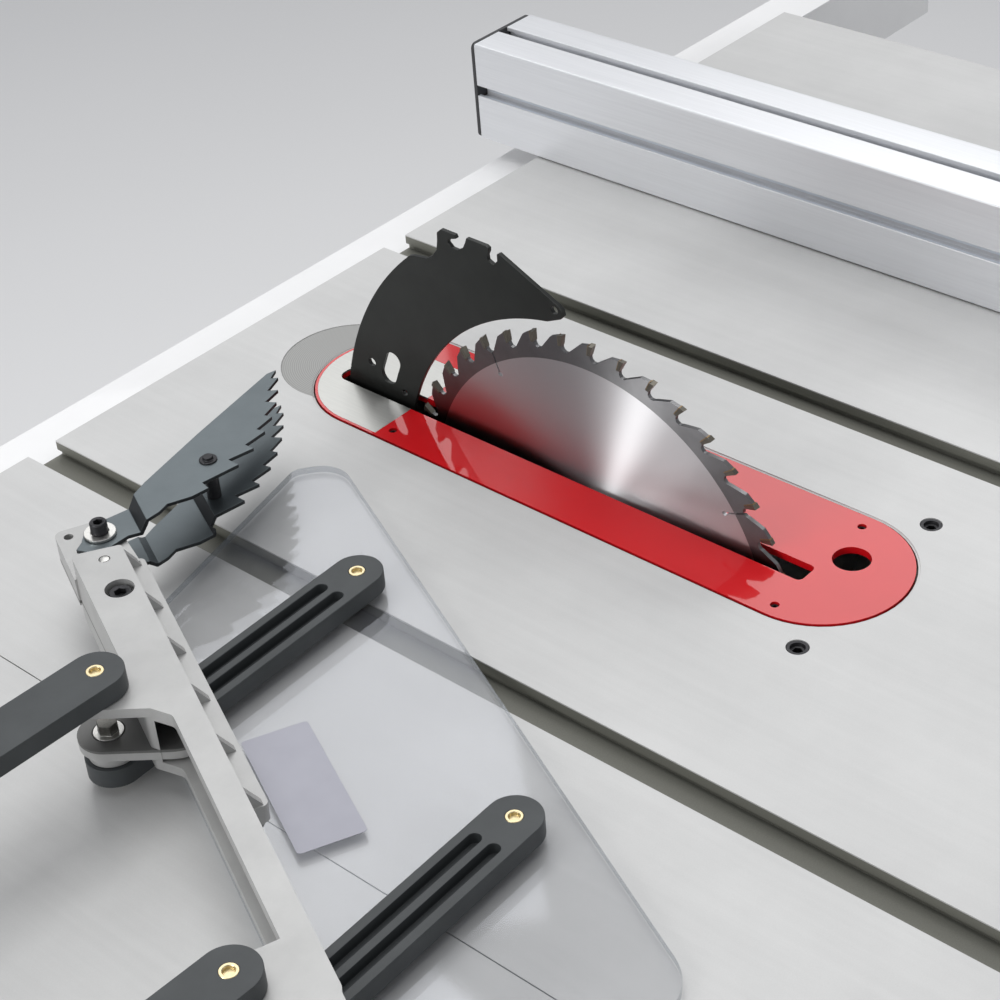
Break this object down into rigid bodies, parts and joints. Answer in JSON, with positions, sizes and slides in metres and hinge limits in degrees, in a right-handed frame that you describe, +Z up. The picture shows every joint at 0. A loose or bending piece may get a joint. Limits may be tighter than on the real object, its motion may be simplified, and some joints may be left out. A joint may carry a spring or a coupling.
{
  "type": "table saw",
  "caption": "Floor-standing cabinet table saw with cast wings, rip fence on rails, tilting blade, riving knife and its blade guard laid on the table.",
  "frame": {"origin": "on the floor, below the middle of the whole saw with its guard laid on the table", "axes": "+X to the operator's right along the rails, +Y from the operator to the rear, +Z up"},
  "size_m": [1.4651, 0.845, 1.0213],
  "materials": {
    "ground_iron": "ground",
    "rail_coat": "satin",
    "black_steel": "black oxide",
    "cast_iron": "cast",
    "cabinet_paint": "textured enamel",
    "dark_paint": "enamel",
    "black_plastic": "moulded",
    "bright_steel": "bright",
    "green_plastic": "gloss",
    "red_plastic": "gloss",
    "red_paint": "gloss",
    "anodised": "anodised",
    "carriage_paint": "enamel",
    "machined": "turned",
    "belt_rubber": "moulded",
    "knife_black": "black oxide",
    "saw_steel": "ground",
    "die_casting": "cast",
    "pawl_steel": "blued",
    "link_plastic": "glass filled",
    "clear_sheet": "clear moulding"
  },
  "bodies": {
    "stand": {"table_top": "ground_iron", "left_wing": "ground_iron", "right_wing": "ground_iron", "front_rail": "rail_coat", "rear_rail": "rail_coat", "table_bolts": "black_steel", "stop_screws": "black_steel", "front_trunnion": "cast_iron", "rear_trunnion": "cast_iron", "cabinet": "cabinet_paint", "plinth": "dark_paint", "levelling_feet": "black_plastic", "dust_port": "black_plastic", "cord_gland": "black_plastic", "door_hinges": "bright_steel", "switch_box": "black_plastic"},
    "cradle": {"cradle": "cast_iron", "raise_pin": "black_steel"},
    "arbor_arm": {"arbor_arm": "cast_iron", "arbor_bearings": "bright_steel", "motor": "dark_paint", "drive_belt": "belt_rubber", "knife_clamp": "knife_black", "riving_knife": "knife_black"},
    "arbor": {"arbor_shaft": "bright_steel", "blade": "saw_steel", "outer_flange": "bright_steel", "arbor_nut": "black_steel", "arbor_pulley": "machined"},
    "motor_rotor": {"motor_pulley": "machined"},
    "raise_wheel": {"raise_shaft": "bright_steel", "raise_handwheel": "bright_steel"},
    "raise_handle": {"raise_handle": "black_plastic"},
    "raise_lock": {"raise_lock": "black_plastic"},
    "tilt_wheel": {"tilt_shaft": "bright_steel", "tilt_handwheel": "bright_steel"},
    "tilt_handle": {"tilt_handle": "black_plastic"},
    "tilt_lock": {"tilt_lock": "black_plastic"},
    "throat_insert": {"throat_insert": "red_paint", "wear_plate": "bright_steel"},
    "fence": {"fence_beam": "anodised", "fence_end_caps": "black_plastic", "fence_carriage": "carriage_paint"},
    "fence_lever": {"fence_lever": "red_plastic"},
    "start_button": {"start_button": "green_plastic"},
    "stop_paddle": {"stop_paddle": "red_plastic"},
    "motor_door": {"motor_door": "cabinet_paint"},
    "door_latch": {"door_latch": "black_plastic"},
    "guard": {"guard_arm": "die_casting", "link_bolts": "black_steel", "pawl_bolt": "black_steel"},
    "pawls": {"lower_pawl": "pawl_steel", "upper_pawl": "pawl_steel", "pawl_spacer": "black_steel"},
    "lower_rear_link": {"lower_rear_link": "link_plastic"},
    "lower_front_link": {"lower_front_link": "link_plastic"},
    "lower_panel": {"lower_panel": "clear_sheet"},
    "upper_rear_link": {"upper_rear_link": "link_plastic"},
    "upper_front_link": {"upper_front_link": "link_plastic"},
    "upper_panel": {"upper_panel": "clear_sheet"}
  },
  "joints": [
    {"name": "blade_tilt", "type": "hinge", "parent": "stand", "child": "cradle", "pos_m": [-0.0544, 0.0245, 0.902], "axis": [0, -1, 0], "range_deg": [0, 45]},
    {"name": "blade_raise", "type": "hinge", "parent": "cradle", "child": "arbor_arm", "pos_m": [-0.1454, -0.0425, 0.817], "axis": [-1, 0, 0], "range_deg": [0, 33]},
    {"name": "blade_spin", "type": "hinge", "parent": "arbor_arm", "child": "arbor", "pos_m": [-0.0544, 0.1075, 0.859], "axis": [1, 0, 0], "continuous": true},
    {"name": "motor_spin", "type": "hinge", "parent": "arbor_arm", "child": "motor_rotor", "pos_m": [-0.1544, 0.1075, 0.627], "axis": [1, 0, 0], "continuous": true},
    {"name": "raise_turn", "type": "hinge", "parent": "cradle", "child": "raise_wheel", "pos_m": [-0.1224, -0.2555, 0.6946], "axis": [0, -1, 0], "range_deg": [0, 792]},
    {"name": "raise_handle_spin", "type": "hinge", "parent": "raise_wheel", "child": "raise_handle", "pos_m": [-0.1224, -0.3055, 0.7696], "axis": [0, -1, 0], "continuous": true},
    {"name": "raise_lock_turn", "type": "hinge", "parent": "raise_wheel", "child": "raise_lock", "pos_m": [-0.1224, -0.2855, 0.6946], "axis": [0, -1, 0], "range_deg": [0, 180]},
    {"name": "tilt_turn", "type": "hinge", "parent": "stand", "child": "tilt_wheel", "pos_m": [-0.3344, -0.1845, 0.6396], "axis": [-1, 0, 0], "range_deg": [0, 1080]},
    {"name": "tilt_handle_spin", "type": "hinge", "parent": "tilt_wheel", "child": "tilt_handle", "pos_m": [-0.3644, -0.1845, 0.7146], "axis": [-1, 0, 0], "continuous": true},
    {"name": "tilt_lock_turn", "type": "hinge", "parent": "tilt_wheel", "child": "tilt_lock", "pos_m": [-0.3444, -0.1845, 0.6396], "axis": [-1, 0, 0], "range_deg": [0, 180]},
    {"name": "insert_lift", "type": "slide", "parent": "stand", "child": "throat_insert", "axis": [0, 0, 1], "range_m": [0, 0.04]},
    {"name": "fence_slide", "type": "slide", "parent": "stand", "child": "fence", "axis": [1, 0, 0], "range_m": [-0.235, 0.405]},
    {"name": "fence_lever_turn", "type": "hinge", "parent": "fence", "child": "fence_lever", "pos_m": [0.2336, -0.4015, 0.86], "axis": [1, 0, 0], "range_deg": [-75, 0]},
    {"name": "start_press", "type": "slide", "parent": "stand", "child": "start_button", "axis": [0, 1, 0], "range_m": [0, 0.003], "stiffness_N_per_m": 900},
    {"name": "stop_press", "type": "hinge", "parent": "stand", "child": "stop_paddle", "pos_m": [-0.5244, -0.3845, 0.784], "axis": [1, 0, 0], "range_deg": [0, 4], "stiffness_Nm_per_rad": 1.2},
    {"name": "door_swing", "type": "hinge", "parent": "stand", "child": "motor_door", "pos_m": [0.1857, 0.2205, 0.662], "axis": [0, 0, 1], "range_deg": [0, 85]},
    {"name": "latch_turn", "type": "hinge", "parent": "motor_door", "child": "door_latch", "pos_m": [0.1856, -0.1165, 0.662], "axis": [1, 0, 0], "range_deg": [0, 90]},
    {"name": "guard_lift", "type": "slide", "parent": "stand", "child": "guard", "axis": [0, 0, 1], "range_m": [0, 0.25]},
    {"name": "pawl_swing", "type": "hinge", "parent": "guard", "child": "pawls", "pos_m": [-0.27479, 0.23027, 0.936], "axis": [0, 0, 1], "range_deg": [0, 30], "stiffness_Nm_per_rad": 0.05},
    {"name": "lower_rear_link_turn", "type": "hinge", "parent": "guard", "child": "lower_rear_link", "pos_m": [-0.3567, 0.1312, 0.915], "axis": [0, 0, 1], "range_deg": [0, 176]},
    {"name": "lower_front_link_turn", "type": "hinge", "parent": "guard", "child": "lower_front_link", "pos_m": [-0.43857, -0.04302, 0.915], "axis": [0, 0, 1], "range_deg": [0, 176]},
    {"name": "lower_panel_turn", "type": "hinge", "parent": "lower_rear_link", "child": "lower_panel", "pos_m": [-0.19731, 0.13651, 0.904], "axis": [0, 0, 1], "range_deg": [-176, 0]},
    {"name": "upper_rear_link_turn", "type": "hinge", "parent": "guard", "child": "upper_rear_link", "pos_m": [-0.3567, 0.1312, 0.957], "axis": [0, 0, 1], "range_deg": [-176, 0]},
    {"name": "upper_front_link_turn", "type": "hinge", "parent": "guard", "child": "upper_front_link", "pos_m": [-0.43857, -0.04302, 0.957], "axis": [0, 0, 1], "range_deg": [-176, 0]},
    {"name": "upper_panel_turn", "type": "hinge", "parent": "upper_rear_link", "child": "upper_panel", "pos_m": [-0.51612, 0.13557, 0.967], "axis": [0, 0, 1], "range_deg": [0, 176]}
  ],
  "couplings": [
    {"joint": "motor_spin", "follows": "blade_spin", "ratio": 0.85714},
    {"joint": "raise_turn", "follows": "blade_raise", "ratio": 24},
    {"joint": "tilt_turn", "follows": "blade_tilt", "ratio": 24},
    {"joint": "lower_front_link_turn", "follows": "lower_rear_link_turn", "ratio": 1},
    {"joint": "lower_panel_turn", "follows": "lower_rear_link_turn", "ratio": -1},
    {"joint": "upper_front_link_turn", "follows": "upper_rear_link_turn", "ratio": 1},
    {"joint": "upper_panel_turn", "follows": "upper_rear_link_turn", "ratio": -1}
  ]
}
